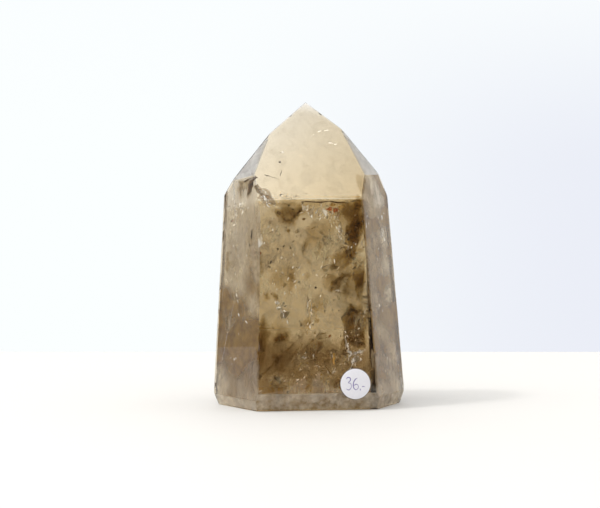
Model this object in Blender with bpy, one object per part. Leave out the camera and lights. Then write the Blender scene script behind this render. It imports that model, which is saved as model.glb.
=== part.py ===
"""A smoky quartz tower: one polished stone, six sided, with a pointed tip, and the round price sticker on its front.

The stone is made the way a cutter makes it. A rough block stands on its sawn foot, and one flat face after
another is ground off it: six side faces that lean in a little, a foot bevel under each of them, six tip faces
that run up to the point, and six small facets that take the shoulders off at the front left, the left and the
right.

The frame is metres, +Z up. The origin is the middle of the foot's bounding box, on the surface it stands on.
The front, which carries the sticker, looks to -Y.
"""

import math

import bmesh
import bpy
from mathutils import Matrix, Vector

MM = 0.001

# The rough block that the tower is ground from. The tip faces end it at 134 mm.
BLOCK_WIDTH = 120 * MM
BLOCK_HEIGHT = 150 * MM

# Side faces: turn from the front towards +X (degrees), lean in from upright (degrees), reach from the axis at the
# foot (mm), then the height and the inset of the bevel under the face (mm).
SIDE_FACES = {
    "front": (8.2, 3.4, 26.6, 7.5, 3.4),
    "front_right": (64.3, 5.2, 36.7, 5.6, 2.0),
    "back_right": (124.5, 3.1, 38.1, 6.0, 2.6),
    "back": (184.0, 3.0, 28.2, 5.5, 2.5),
    "back_left": (245.0, 2.7, 38.4, 5.6, 2.4),
    "front_left": (305.0, 2.6, 36.0, 4.6, 1.9),
}

# Tip faces: turn from the front (degrees), lean in from upright (degrees), and the height at which the plane of
# the face meets the axis (mm). The front, left and right faces meet in the point.
TIP_FACES = {
    "front": (8.1, 26.3, 133.8),
    "front_right": (62.7, 32.8, 144.1),
    "right": (100.0, 51.1, 132.5),
    "back": (184.0, 24.0, 139.0),
    "left": (266.6, 46.2, 135.9),
    "front_left": (301.5, 30.9, 153.3),
}

# Shoulder facets, given as the tip faces are. Each pair takes a shoulder off in two steps.
SHOULDER_FACETS = {
    "front_left_upper": (349.75, 15.0, 189.8),
    "front_left_lower": (0.25, 12.0, 199.3),
    "left_upper": (268.1, 39.2, 140.8),
    "left_lower": (262.0, 35.5, 145.4),
    "right_upper": (97.7, 41.1, 137.3),
    "right_lower": (102.5, 30.5, 153.4),
}

# The sticker is a flat paper disc on the front face, low and to the right.
STICKER_DIAMETER = 13 * MM
STICKER_THICKNESS = 0.2 * MM
STICKER_GAP = 0.3 * MM
STICKER_SIDE = 15.8 * MM
STICKER_HEIGHT = 11.5 * MM
STICKER_SEGMENTS = 64

QUARTZ_COLOUR = (0.42, 0.33, 0.22, 1.0)
PAPER_COLOUR = (0.90, 0.90, 0.95, 1.0)


def outward(turn, lean):
    """The outward normal of a face, from its turn and lean in degrees."""
    turn, lean = math.radians(turn), math.radians(lean)
    level = math.cos(lean)
    return Vector((math.sin(turn) * level, -math.cos(turn) * level, math.sin(lean)))


def side_plane(turn, lean, reach):
    """A point on a side face, at the foot, and the face's outward normal."""
    return outward(turn, 0) * reach * MM, outward(turn, lean)


def bevel_plane(turn, lean, reach, height, inset):
    """The bevel under a side face: it starts on the face at a height and runs in to the foot by an inset."""
    drawn_in = height * math.tan(math.radians(lean))
    start = outward(turn, 0) * (reach - drawn_in) * MM + Vector((0, 0, height * MM))
    under = math.degrees(math.atan2(inset - drawn_in, height))
    return start, outward(turn, -under)


def tip_plane(turn, lean, axis_height):
    """A point on a tip face, on the axis, and the face's outward normal."""
    return Vector((0, 0, axis_height * MM)), outward(turn, lean)


def grinding_planes():
    """Every plane that the block is ground to, in the order of the work."""
    yield from (side_plane(*face[:3]) for face in SIDE_FACES.values())
    yield from (bevel_plane(*face) for face in SIDE_FACES.values())
    yield from (tip_plane(*face) for face in TIP_FACES.values())
    yield from (tip_plane(*facet) for facet in SHOULDER_FACETS.values())


def grind(stone, point, normal):
    """Takes off everything outside one plane, and closes the cut with a flat face."""
    everything = stone.verts[:] + stone.edges[:] + stone.faces[:]
    bmesh.ops.bisect_plane(
        stone, geom=everything, dist=1e-7, plane_co=point, plane_no=normal, clear_outer=True
    )
    rim = [edge for edge in stone.edges if edge.is_boundary]
    bmesh.ops.holes_fill(stone, edges=rim)


def finish_material(name, colour, roughness, clear=0.0):
    """A plain Principled material. A clear one lets light through and bends it as quartz does."""
    material = bpy.data.materials.new(name)
    material.use_nodes = True
    shader = material.node_tree.nodes["Principled BSDF"]
    shader.inputs["Base Color"].default_value = colour
    shader.inputs["Roughness"].default_value = roughness
    shader.inputs["Metallic"].default_value = 0.0
    shader.inputs["Transmission Weight"].default_value = clear
    shader.inputs["IOR"].default_value = 1.544
    return material


def new_object(name, shape, material, collection):
    """Puts a finished bmesh into the scene as one named object."""
    bmesh.ops.recalc_face_normals(shape, faces=shape.faces)
    mesh = bpy.data.meshes.new(name)
    shape.to_mesh(mesh)
    shape.free()
    mesh.materials.append(material)
    made = bpy.data.objects.new(name, mesh)
    collection.objects.link(made)
    return made


def quartz_tower(collection):
    """The stone: a block on its foot, ground to one plane after another."""
    stone = bmesh.new()
    standing = Matrix.Translation((0, 0, BLOCK_HEIGHT / 2))
    size = Matrix.Diagonal((BLOCK_WIDTH, BLOCK_WIDTH, BLOCK_HEIGHT, 1))
    bmesh.ops.create_cube(stone, size=1.0, matrix=standing @ size)
    for point, normal in grinding_planes():
        grind(stone, point, normal)
    return new_object("quartz_tower", stone, finish_material("smoky quartz", QUARTZ_COLOUR, 0.04, 1.0), collection)


def price_sticker(collection):
    """The sticker: a paper disc that lies along the front face, just clear of it."""
    point, normal = side_plane(*SIDE_FACES["front"][:3])
    along = Vector((0, 0, 1)).cross(normal).normalized()
    up_the_face = normal.cross(along)
    stand_off = STICKER_GAP + STICKER_THICKNESS / 2
    disc = bmesh.new()
    bmesh.ops.create_cone(
        disc,
        cap_ends=True,
        segments=STICKER_SEGMENTS,
        radius1=STICKER_DIAMETER / 2,
        radius2=STICKER_DIAMETER / 2,
        depth=STICKER_THICKNESS,
    )
    sticker = new_object("price_sticker", disc, finish_material("white paper", PAPER_COLOUR, 0.6), collection)
    sticker.rotation_euler = Matrix((along, up_the_face, normal)).transposed().to_euler()
    sticker.location = point + along * STICKER_SIDE + up_the_face * STICKER_HEIGHT + normal * stand_off
    return sticker


def main():
    for old in list(bpy.data.objects):
        bpy.data.objects.remove(old, do_unlink=True)
    collection = bpy.data.collections.new("smoky quartz tower")
    bpy.context.scene.collection.children.link(collection)
    quartz_tower(collection)
    price_sticker(collection)


main()
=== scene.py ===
# %% [markdown]
# # A smoky quartz tower
#
# The stone is one natural crystal, ground flat and polished, that stands on its sawn foot. Nearly all of its
# look is inside it: pale smoke that colours the light, veils and healed cracks, brown stains and a few
# silvery sparks. So the lesson has two halves: first the polished skin, then what lies under it. The price
# sticker, the table and the light come last.
#
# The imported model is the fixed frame. Sizes are in millimetres until they go into a mesh, except for those of
# the table and the lamp, which are in metres.

# %% The frame
import math

import bmesh
import bpy
import numpy as np
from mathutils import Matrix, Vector


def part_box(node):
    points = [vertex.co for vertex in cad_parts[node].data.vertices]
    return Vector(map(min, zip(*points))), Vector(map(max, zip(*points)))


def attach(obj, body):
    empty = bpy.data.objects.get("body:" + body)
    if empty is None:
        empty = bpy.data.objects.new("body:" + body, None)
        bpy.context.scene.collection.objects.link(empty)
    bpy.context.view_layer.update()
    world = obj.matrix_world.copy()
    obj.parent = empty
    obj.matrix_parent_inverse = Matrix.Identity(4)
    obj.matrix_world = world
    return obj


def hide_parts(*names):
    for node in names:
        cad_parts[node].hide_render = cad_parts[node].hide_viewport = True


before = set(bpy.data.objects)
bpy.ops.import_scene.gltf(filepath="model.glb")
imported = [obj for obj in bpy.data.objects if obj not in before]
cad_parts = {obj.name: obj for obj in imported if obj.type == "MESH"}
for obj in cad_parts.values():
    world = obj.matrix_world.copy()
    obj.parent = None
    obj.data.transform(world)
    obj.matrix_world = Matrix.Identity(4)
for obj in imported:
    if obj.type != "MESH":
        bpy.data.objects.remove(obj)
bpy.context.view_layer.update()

MM = 0.001
STONE = "quartz_tower"
STICKER = "price_sticker"

foot_low, stone_high = (np.array(corner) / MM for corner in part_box(STONE))
print("the stone is", np.round(stone_high - foot_low, 1), "mm")

# %% [markdown]
# ## The flat faces
#
# A lapidary thinks of a cut stone as a list of planes, and so does this script. The frame's mesh is loose
# triangles, several to a face. Grouping the triangles that look the same way gives each plane's outward
# normal and its distance from the origin, and everything about the stone's form is worked out from those two
# arrays.

# %% Read the planes from the frame
SAME_FACE = 0.99995  # the least cosine between the normals of triangles of one face


def ground_planes(node):
    """The flat faces of a convex node, as unit normals (n, 3) and distances (n,) in mm.

    Triangles whose normals agree to within a fraction of a degree belong to one face. A face's plane is
    normal . p = distance, with both taken as the mean over its triangles, weighted by their areas.
    """
    mesh = node.data
    count = len(mesh.polygons)
    normals, centres, areas = np.empty(count * 3), np.empty(count * 3), np.empty(count)
    mesh.polygons.foreach_get("normal", normals)
    mesh.polygons.foreach_get("center", centres)
    mesh.polygons.foreach_get("area", areas)
    turn = np.array(node.matrix_world.to_3x3())
    normals = normals.reshape(-1, 3) @ turn.T
    centres = (centres.reshape(-1, 3) @ turn.T + np.array(node.matrix_world.translation)) / MM
    found, left = [], areas.copy()
    while left.max() > 0:
        same = (normals @ normals[left.argmax()] > SAME_FACE) & (left > 0)
        normal = (normals[same] * areas[same, None]).sum(0)
        normal /= np.linalg.norm(normal)
        found.append((normal, np.average(centres[same] @ normal, weights=areas[same])))
        left[same] = 0
    return np.array([n for n, d in found]), np.array([d for n, d in found])


plane_normals, plane_reach = ground_planes(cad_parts[STONE])
print(len(plane_reach), "flat faces")

# %% [markdown]
# ## From planes to outlines
#
# Three planes meet in a point, and a corner of a convex stone is such a point that no other plane cuts off.
# Solving every trio at once finds all the corners. The corners that lie on one plane, sorted by angle round
# their middle, are that face's outline.

# %% Corners and outlines
ON_PLANE = 0.04  # a corner this close to a plane, in mm, lies on it


def stone_corners(normals, reach, slack=ON_PLANE / 2):
    """Every corner of the convex solid normals . p <= reach.

    The trios of planes are solved together, leaving out those that are nearly parallel, and a point is kept
    if no other plane cuts it off by more than the slack. Points closer than twice the slack are one corner.
    """
    i, j, k = np.array(np.meshgrid(*[np.arange(len(reach))] * 3, indexing="ij")).reshape(3, -1)
    rising = (i < j) & (j < k)
    trios = np.stack((i[rising], j[rising], k[rising]), axis=1)
    firm = np.abs(np.linalg.det(normals[trios])) > 1e-4
    points = np.linalg.solve(normals[trios[firm]], reach[trios[firm]][..., None])[..., 0]
    points = points[(points @ normals.T - reach).max(1) < slack]
    apart = np.linalg.norm(points[:, None] - points[None], axis=2)
    first = (apart < 2 * slack).argmax(1)
    return points[np.unique(first)]


def face_outline(normal, reach, corners):
    """The corners on one plane, in order round it, anticlockwise as seen from outside."""
    ring = corners[np.abs(corners @ normal - reach) < ON_PLANE]
    middle = ring.mean(0)
    east = ring[0] - middle
    east -= normal * (east @ normal)
    north = np.cross(normal, east)
    angle = np.arctan2((ring - middle) @ north, (ring - middle) @ east)
    return ring[np.argsort(angle)]


def all_outlines(normals, reach):
    """The outline of every plane that has at least three corners of the solid, with that plane's normal."""
    corners = stone_corners(normals, reach)
    used = (np.abs(corners @ normals.T - reach) < ON_PLANE).sum(0) > 2
    return [(face_outline(n, d, corners), n) for n, d in zip(normals[used], reach[used])]


outlines = all_outlines(plane_normals, plane_reach)
print("the faces have", [len(outline) for outline, normal in outlines], "sides")

# %% [markdown]
# ## A seeded ripple
#
# Hand polishing leaves nothing dead flat and no two edges alike. One cheap source of gentle unevenness serves
# for everything that follows: a sum of sine waves that run in random directions.

# %% Ripple


def ripple(points, wavelength, seed, waves=24):
    """Smooth noise of about unit size: sqrt(2 / n) times the sum of n sines.

    Each is sin(2 pi stretch (d . p) / wavelength + phase), with its direction d, stretch and phase drawn from
    the seed.
    """
    draw = np.random.default_rng(seed)
    direction = draw.normal(size=(waves, 3))
    direction /= np.linalg.norm(direction, axis=1, keepdims=True)
    stretch = draw.uniform(0.6, 1.6, waves)
    phase = draw.uniform(0, 2 * math.pi, waves)
    turns = points @ direction.T * (2 * math.pi / wavelength) * stretch + phase
    return np.sin(turns).sum(-1) * math.sqrt(2 / waves)


heights = ripple(np.random.default_rng(0).uniform(-50, 50, (2000, 3)), 10.0, 1)
print("the ripple's spread is", round(float(heights.std()), 2))

# %% [markdown]
# ## A skin of flat faces
#
# Each face is a patch of two parameters. One runs round the outline, the other in from it: first in a few
# close rings that keep the outline's shape, then in wide ones that shrink to the middle. The close rings are
# there for the edges. A polished edge is never sharp, so the whole skin is settled onto a smooth blend of all
# the planes, which is flat wherever one plane leads and turns over softly where two compete. Where the blend
# is made wider for a millimetre or two, the edge looks nicked.

# %% One face as a patch
EDGE_STEP = 0.8  # spacing of points along an edge, mm
RING_DEPTHS = np.array([0, 0.06, 0.13, 0.21, 0.31, 0.44, 0.62, 0.9, 1.4])  # mm in from the edge
SHRINK = np.array([0.72, 0.4, 0.0])  # sizes of the rings inside those


def face_patch(outline, normal):
    """One flat face as a grid of rings: P(s, t) = O(t) + depth(s) W(t), then shrunk to the middle.

    O(t) walks round the outline at even steps along each side. W(t) is the mitre: the move that takes a
    corner in by one from both its sides, (m1 + m2) / (1 + m1 . m2) for the sides' inward normals, mixed
    linearly along a side. The last rings are middle + shrink (P - middle).
    """
    side = np.roll(outline, -1, 0) - outline
    length = np.linalg.norm(side, axis=1, keepdims=True)
    inward = np.cross(normal, side / length)
    before = np.roll(inward, 1, 0)
    mitre = (inward + before) / (1 + (inward * before).sum(1, keepdims=True))
    middle = outline.mean(0)
    inradius = ((middle - outline) * inward).sum(1).min()
    along, drift = [], []
    for start, run, long, here, there in zip(outline, side, length[:, 0], mitre, np.roll(mitre, -1, 0)):
        steps = max(3, round(long / EDGE_STEP))
        t = (np.arange(steps) / steps)[:, None]
        along.append(start + run * t)
        drift.append(here + (there - here) * t)
    along, drift = np.concatenate(along), np.concatenate(drift)
    depth = RING_DEPTHS * min(1, 0.55 * inradius / RING_DEPTHS[-1])
    rings = along + depth[:, None, None] * drift
    return np.concatenate((rings, middle + SHRINK[:, None, None] * (rings[-1] - middle)))


first_patch = face_patch(*outlines[0])
print("the first face is", first_patch.shape[0], "rings of", first_patch.shape[1], "points")

# %% Soft edges
SETTLING_PASSES = 4


def settle(points, normals, reach, softness):
    """Moves points onto the soft solid, where s log(sum(exp((normals . p - reach) / s))) = 0.

    Here s is the softness. Each pass steps along the blend's own gradient, the weighted mean of the plane
    normals.
    """
    settled = points.copy()
    for _ in range(SETTLING_PASSES):
        over = (settled @ normals.T - reach) / softness[:, None]
        top = over.max(1, keepdims=True)
        weight = np.exp(over - top)
        level = softness * (top[:, 0] + np.log(weight.sum(1)))
        slope = weight @ normals / weight.sum(1, keepdims=True)
        settled -= slope * (level / (slope**2).sum(1))[:, None]
    return settled


# %% All the faces together


def grid_faces(rows, columns):
    """Quads (n, 4) of a grid of points whose second parameter closes on itself."""
    i, j = np.meshgrid(np.arange(rows - 1), np.arange(columns), indexing="ij")
    after = (j + 1) % columns
    here, next_row = i * columns, (i + 1) * columns
    return np.stack((here + j, here + after, next_row + after, next_row + j), -1).reshape(-1, 4)


def flat_faced_solid(normals, reach):
    """Points and quads of all the face patches of the solid normals . p <= reach."""
    grids = [face_patch(outline, normal) for outline, normal in all_outlines(normals, reach)]
    starts = np.cumsum([0] + [grid.shape[0] * grid.shape[1] for grid in grids])
    points = np.concatenate([grid.reshape(-1, 3) for grid in grids])
    quads = np.concatenate([grid_faces(*grid.shape[:2]) + start for grid, start in zip(grids, starts)])
    return points, quads


# %% [markdown]
# ## Pieces
#
# A piece is a mesh with its place already in its points, and it rides on the body. Patches that touch share
# their points only once they are welded, and a solid is sound when every edge has two faces and the volume
# comes out positive.

# %% Piece functions
SKIN_WELD = 0.012  # points closer than this, in mm, are one
FINE_WELD = 0.0005  # the same, for thin or tiny pieces


def new_piece(name, points, quads, material, slot="smoky_quartz", weld_within=SKIN_WELD, values=()):
    """A mesh object from points in mm and quads, with doubles welded. Values are named point arrays."""
    mesh = bpy.data.meshes.new(name)
    mesh.from_pydata((points * MM).tolist(), [], quads.tolist())
    for key, array in dict(values).items():
        kind, field = ("FLOAT", "value") if array.ndim == 1 else ("FLOAT_VECTOR", "vector")
        mesh.attributes.new(key, kind, "POINT").data.foreach_set(field, array.astype(np.float32).ravel())
    weld = bmesh.new()
    weld.from_mesh(mesh)
    bmesh.ops.remove_doubles(weld, verts=weld.verts, dist=weld_within * MM)
    bmesh.ops.dissolve_degenerate(weld, edges=weld.edges, dist=0.001 * MM)
    weld.to_mesh(mesh)
    weld.free()
    mesh.shade_smooth()
    mesh.materials.append(material)
    piece = bpy.data.objects.new(name, mesh)
    bpy.context.scene.collection.objects.link(piece)
    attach(piece, "root")
    return piece


def closed_and_outward(piece):
    """True if every edge has two faces, and the volume in cm3, which is positive if faces look outward."""
    check = bmesh.new()
    check.from_mesh(piece.data)
    closed = all(len(edge.link_faces) == 2 for edge in check.edges)
    volume = check.calc_volume(signed=True) / MM**3 / 1000
    check.free()
    return closed, round(volume, 3)


# %% [markdown]
# ## Materials
#
# Every material is the Principled shader with plain values. Where a look needs more, nodes are linked to it:
# a noise that mixes two colours, or absorption in the volume. Blender's absorption takes a colour and a
# density, and the colour is what is left over: the stone's takes away blue first, then green, so that a long
# way through it looks brown.

# %% Material functions


def put(tree, kind, sockets=(), **settings):
    """Adds a node, then sets its properties and its sockets. An output socket as a value is linked."""
    made = tree.nodes.new(kind)
    for key, value in settings.items():
        setattr(made, key, value)
    for socket, value in dict(sockets).items():
        if isinstance(value, bpy.types.NodeSocket):
            tree.links.new(value, made.inputs[socket])
        else:
            made.inputs[socket].default_value = value
    return made


def plain_material(name, base, rough, transmission=0.0, ior=1.5, metallic=0.0):
    """A Principled material with plain values, ready for nodes to be linked to it."""
    material = bpy.data.materials.new(name)
    material.use_nodes = True
    shader = material.node_tree.nodes["Principled BSDF"]
    shader.inputs["Base Color"].default_value = (*base, 1)
    shader.inputs["Roughness"].default_value = rough
    shader.inputs["Transmission Weight"].default_value = transmission
    shader.inputs["IOR"].default_value = ior
    shader.inputs["Metallic"].default_value = metallic
    return material, material.node_tree, shader


def soak(tree, colour, density):
    """Plain absorption: over a distance s in metres, r, g and b each fall to exp(-(1 - colour) density s)."""
    absorb = put(tree, "ShaderNodeVolumeAbsorption", {"Color": (*colour, 1), "Density": density})
    tree.links.new(absorb.outputs[0], tree.nodes["Material Output"].inputs["Volume"])


def mixed(tree, factor, first, second):
    """A colour mix node's output. Each end is a colour (r, g, b) or the output of another node."""
    first, second = (
        end if isinstance(end, bpy.types.NodeSocket) else (*end, 1) for end in (first, second)
    )
    sockets = {"Factor": factor, "A": first, "B": second}
    return put(tree, "ShaderNodeMix", sockets, data_type="RGBA").outputs["Result"]


# %% [markdown]
# ## The polished stone
#
# The real skin is flat ground faces with a mirror polish. Their edges are worn by a tenth of a millimetre or
# two, and nicked here and there. A bevel modifier would round every edge alike, so the edges come from the
# soft blend instead, whose width wanders a little along them. The glass is smooth, with the refractive index
# of quartz.

# %% The polished stone
QUARTZ_IOR = 1.544
EDGE_SOFTNESS = 0.13  # the blend's width, mm; an edge's radius is about twice this
LEAST_SOFTNESS = 0.05
NICK_SOFTNESS = 0.5  # how much wider the blend is in a nick, mm
NICK_LENGTH = 3.0  # wavelength of the ripple that places the nicks, mm
NICK_LEVEL, NICK_RISE = 1.9, 0.5  # the ripple's height where a nick starts, and how much higher it is full

quartz, quartz_tree, _ = plain_material("smoky quartz", (1, 1, 1), 0.0, transmission=1.0, ior=QUARTZ_IOR)
soak(quartz_tree, (0.83, 0.6, 0.1), 14.0)

skin_points, skin_quads = flat_faced_solid(plane_normals, plane_reach)
nicks = np.clip(ripple(skin_points, NICK_LENGTH, 11) - NICK_LEVEL, 0, NICK_RISE) / NICK_RISE
softness = EDGE_SOFTNESS * (1 + 0.25 * ripple(skin_points, 20.0, 5)) + NICK_SOFTNESS * nicks
skin_points = settle(skin_points, plane_normals, plane_reach, np.clip(softness, LEAST_SOFTNESS, None))
skin = new_piece("polished_stone", skin_points, skin_quads, quartz)
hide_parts(STONE)
# The test prints False. Narrow slits, mostly 0.1 mm wide, stay open along a few edges of the tip and the
# shoulders, probably because two corners there lie only 0.1 to 0.6 mm apart. The volume is right.
print("skin:", len(skin.data.polygons), "faces, closed and outward, cm3:", closed_and_outward(skin))

# %% [markdown]
# ## Smoke
#
# Smoky quartz is brown where natural radiation has changed it, and some zones of a crystal are browner than
# others. One absorption value for the whole stone would be simpler, but the tip of this one is much paler
# than its body. So each zone of smoke is a solid of its own under the skin, filled with absorption and with
# a refractive index of 1: its surface bends nothing and can't be seen. A zone has the stone's own planes,
# moved in a little, and one or two cuts more. The largest ends in a plane that starts at the lower edge of
# the front tip face and falls away backwards, along the path of light that comes in through that face. So
# looking in through the tip face the eye passes over the smoke, and looking in through the front face it goes
# through all of it.
#
# The largest zone is closed. The other three have open edges, as the stone's skin does.

# %% Planes for the smoke
SKIN_GAP = 0.4  # between the stone's skin and what lies in it, mm
UNDER_TIP_EDGE = 0.15
TIP_EDGE_LEFT = np.array([-11.7, -23.1, 90.8])
TIP_EDGE_RIGHT = np.array([22.8, -18.1, 91.0])
LIGHT_PATH = np.array([-0.047, 0.991, -0.125])  # how light runs in through the front tip face
UP, BACK = np.array([0, 0, 1]), np.array([0, 1, 0])


def unit(vectors):
    """Vectors scaled to length 1."""
    return vectors / np.linalg.norm(vectors, axis=-1, keepdims=True)


def cut_through(first, second, third, outward):
    """A cut: the plane through three points in mm that looks outward, as its normal and its distance."""
    normal = unit(np.cross(np.subtract(second, first), np.subtract(third, first)))
    normal *= np.sign(normal @ outward)
    return normal, normal @ first


def inside_of(gap, *cuts):
    """The stone's planes moved in by a gap, with more cuts, as normals and distances."""
    normals = np.concatenate([plane_normals] + [cut[0][None] for cut in cuts])
    return normals, np.append(plane_reach - gap, [cut[1] for cut in cuts])


top_start = TIP_EDGE_LEFT - UNDER_TIP_EDGE * UP
over_the_smoke = cut_through(top_start, TIP_EDGE_RIGHT - UNDER_TIP_EDGE * UP, top_start + LIGHT_PATH, UP)
smoky_inside = inside_of(SKIN_GAP, over_the_smoke)
whole_inside = inside_of(SKIN_GAP)
print("the smoke's top falls", round(math.degrees(math.asin(over_the_smoke[0][1])), 1), "degrees to the back")

# %% Smoke with flat sides
SMOKE_EDGE = 0.12  # softness of the smoke's own edges, mm


def smoke_material(name, colour, density):
    """Clear, with no bending, and absorption."""
    material, tree, _ = plain_material(name, (1, 1, 1), 0.0, transmission=1.0, ior=1.0)
    soak(tree, colour, density)
    return material


def flat_smoke(name, smoke, gap, *cuts):
    """One smoke solid: all that is inside the stone's planes, moved in by the gap, and inside the cuts."""
    normals, reach = inside_of(gap, *cuts)
    points, quads = flat_faced_solid(normals, reach)
    points = settle(points, normals, reach, np.full(len(points), SMOKE_EDGE))
    body = new_piece(name, points, quads, smoke)
    print(name, closed_and_outward(body))


flat_smoke("smoky_zone", smoke_material("thin smoke", (0.54, 0.45, 0.26), 30.0), SKIN_GAP, over_the_smoke)

# %% [markdown]
# Three smaller zones have the same form, each with its own gap under the stone's skin. The foot holds more
# smoke. A dark band, a few millimetres deep, lies right under the lower edge of the front tip face. A thin
# wedge behind that face gives it its cream colour.

# %% Foot, band and tip
FOOT_GAP, BAND_GAP, WEDGE_GAP = 2.6, 0.8, 0.5  # mm
FOOT_TOP = cut_through((-40, -25, 25), (40, -25, 21), (0, 30, 30), UP)
BAND_TOP = over_the_smoke[0], over_the_smoke[1] - UNDER_TIP_EDGE
BAND_BACK = cut_through((-20, -14.5, 90), (25, -9.5, 90), (0, -15.5, 70), BACK)
BAND_BOTTOM = cut_through((-20, -24, 86.5), (25, -19, 84.5), (0, -12, 93), -UP)
WEDGE_BACK = cut_through((-22.1, -21.9, 94.6), (21.8, -11.5, 87.5), (-0.9, 6.7, 130.7), BACK)

foot_smoke = smoke_material("foot smoke", (0.6, 0.48, 0.3), 30.0)
band_smoke = smoke_material("band smoke", (0.6, 0.47, 0.16), 170.0)
tip_smoke = smoke_material("tip smoke", (0.6, 0.47, 0.18), 84.0)
flat_smoke("foot_smoke", foot_smoke, FOOT_GAP, FOOT_TOP)
flat_smoke("band_smoke", band_smoke, BAND_GAP, BAND_TOP, BAND_BACK, BAND_BOTTOM)
flat_smoke("tip_smoke", tip_smoke, WEDGE_GAP, WEDGE_BACK)

# %% [markdown]
# ## Places inside the stone
#
# What else the stone holds is thin or small: films left by healed cracks, flakes, stains, and lumps of
# stronger smoke. They are all made from a list of places with directions and sizes, and none may come out of
# the stone. A convex stone makes that easy: how far a ray can go before it leaves is the least of its
# distances to the planes.

# %% Kept inside


def keep_inside(rays, centres, normals, reach, margin=0.15):
    """Scales each ray from its centre, if need be, so that centre + ray is inside the planes by a margin."""
    room = (reach - margin) - centres @ normals.T
    climb = rays @ normals.T
    scale = np.where(climb > 1e-6, room / np.maximum(climb, 1e-6), np.inf).min(-1)
    return rays * np.minimum(1, scale)[..., None]


def pulled_in(centres, normals, reach, clear=0.35, passes=6):
    """Moves centres that are outside, or nearer to a plane than clear, straight in from the worst plane."""
    for _ in range(passes):
        over = centres @ normals.T - (reach - clear)
        centres = centres - normals[over.argmax(1)] * np.maximum(over.max(1), 0)[:, None]
    return centres


straight_up = keep_inside(np.array([[0, 0, 200.0]]), np.array([[0, 0, 50.0]]), *whole_inside)
print("a ray straight up from 50 mm ends at", round(50 + float(straight_up[0, 2]), 1), "mm")

# %% [markdown]
# The marks that make this stone itself are listed, one row of numbers to a mark. A row gives its
# place as seen from the front, across and up, and how deep it lies beneath the face that it is seen through.

# %% Laid under a face
FACE_TURN_AND_LEAN = {  # degrees: the turn from the front towards the right, and the lean back from upright
    "front": (8.2, 3.4), "left": (305.0, 2.6), "right": (64.3, 5.2),
    "back left": (245.0, 2.7), "back right": (124.5, 3.1),
    "tip": (8.1, 26.3), "tip left": (301.5, 30.9), "tip right": (62.7, 32.8),
    "front bevel": (8.2, -21.5), "left bevel": (305.0, -20.2), "right bevel": (64.3, -14.9),
}


def face_number(name):
    """The index of the plane that looks most nearly along (sin t cos l, -cos t cos l, sin l)."""
    turn, lean = np.radians(FACE_TURN_AND_LEAN[name])
    look = np.array([math.sin(turn) * math.cos(lean), -math.cos(turn) * math.cos(lean), math.sin(lean)])
    return (plane_normals @ look).argmax()


def laid_under(face, rows, tilt, seed, turned=None):
    """Sheets laid beneath one face, from rows of x, z, depth, half length, half width, roll and tone.

    The place is found on the face's plane, y = (reach - nx x - nz z) / ny, then taken in by the depth. A
    sheet lies along the face, or is turned to look another way, but for a random tilt, and its length makes
    the angle roll with the level.
    """
    x, z, depth, long, wide, roll, tone = np.array(rows, float).T
    draw = np.random.default_rng(seed)
    number = face_number(face)
    normal, reach = plane_normals[number], plane_reach[number]
    y = (reach - normal[0] * x - normal[2] * z) / normal[1]
    level = unit(np.cross(UP, normal))
    upward = np.cross(normal, level)
    roll = np.radians(roll)[:, None]
    facing = unit((normal if turned is None else turned) + draw.normal(0, tilt, (len(x), 3)))
    along = level * np.cos(roll) + upward * np.sin(roll)
    centres = np.stack((x, y, z), 1) - normal * depth[:, None]
    return centres, facing, along, np.stack((long, wide), 1), tone


print("planes by name:", {name: int(face_number(name)) for name in FACE_TURN_AND_LEAN})

# %% [markdown]
# A flake in a crystal is bright when it is a mirror that throws a lamp's light at the eye. So a flake can be
# aimed: its normal is halfway between the way to the light and the way to the eye, both as they run inside
# the stone, where Snell's law has bent them.

# %% Aimed flakes
TO_THE_EYE = np.array([0.0, -1.0, 0.0])


def bent_in(direction, normal):
    """Snell's law: the way inside the stone to something that lies in a direction outside, through a face."""
    flat = direction - (direction @ normal) * normal
    flat = flat / QUARTZ_IOR
    return flat + math.sqrt(1 - flat @ flat) * normal


def throws_light(face, source):
    """The normal of a mirror under a face that throws a source's light to the front: (a + b) / |a + b|."""
    normal = plane_normals[face_number(face)]
    return unit(bent_in(unit(np.array(source)), normal) + bent_in(TO_THE_EYE, normal))


print("a flake under the front face is aimed along", np.round(throws_light("front", (-0.52, -0.25, 0.82)), 2))

# %% [markdown]
# Broken places in a crystal are full of slivers that run much the same way. A spray makes many slivers from
# one row. To fill the stone evenly, so that it is as rich at the sides and the back as in front, sprays and
# single sheets are also scattered through it at random, from fixed seeds.

# %% Sprays and scattered sheets
SLIM = 0.18, 0.4  # a sliver's width as a share of its length


def sprays(face, rows, seed, fan=22.0, tilt=0.35, turned=None):
    """Slivers in sprays beneath one face.

    The rows give x, z, depth, spread along, spread across, roll, count, length and tone. Each sliver's place
    is the spray's plus a along + b across, with a and b drawn from a bell curve, and its length runs within
    some degrees of the spray's roll, the fan.
    """
    draw = np.random.default_rng(seed)
    rows = np.array(rows, float)
    rows = rows[np.repeat(np.arange(len(rows)), rows[:, 6].astype(int))]
    x, z, depth, along, across, roll, _, long, tone = rows.T
    a, b = draw.normal(size=(2, len(x))) * (along, across)
    turn = np.radians(roll)
    x, z = x + a * np.cos(turn) - b * np.sin(turn), z + a * np.sin(turn) + b * np.cos(turn)
    depth = np.maximum(0.6, depth * draw.uniform(0.5, 1.5, len(x)))
    long = long * draw.uniform(0.5, 1.3, len(x)) / 2
    wide = long * draw.uniform(*SLIM, len(x))
    tone = tone + draw.normal(0, 0.2, len(x))
    slivers = np.stack((x, z, depth, long, wide, roll + draw.normal(0, fan, len(x)), tone), 1)
    return laid_under(face, slivers, tilt, seed, turned)


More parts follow.
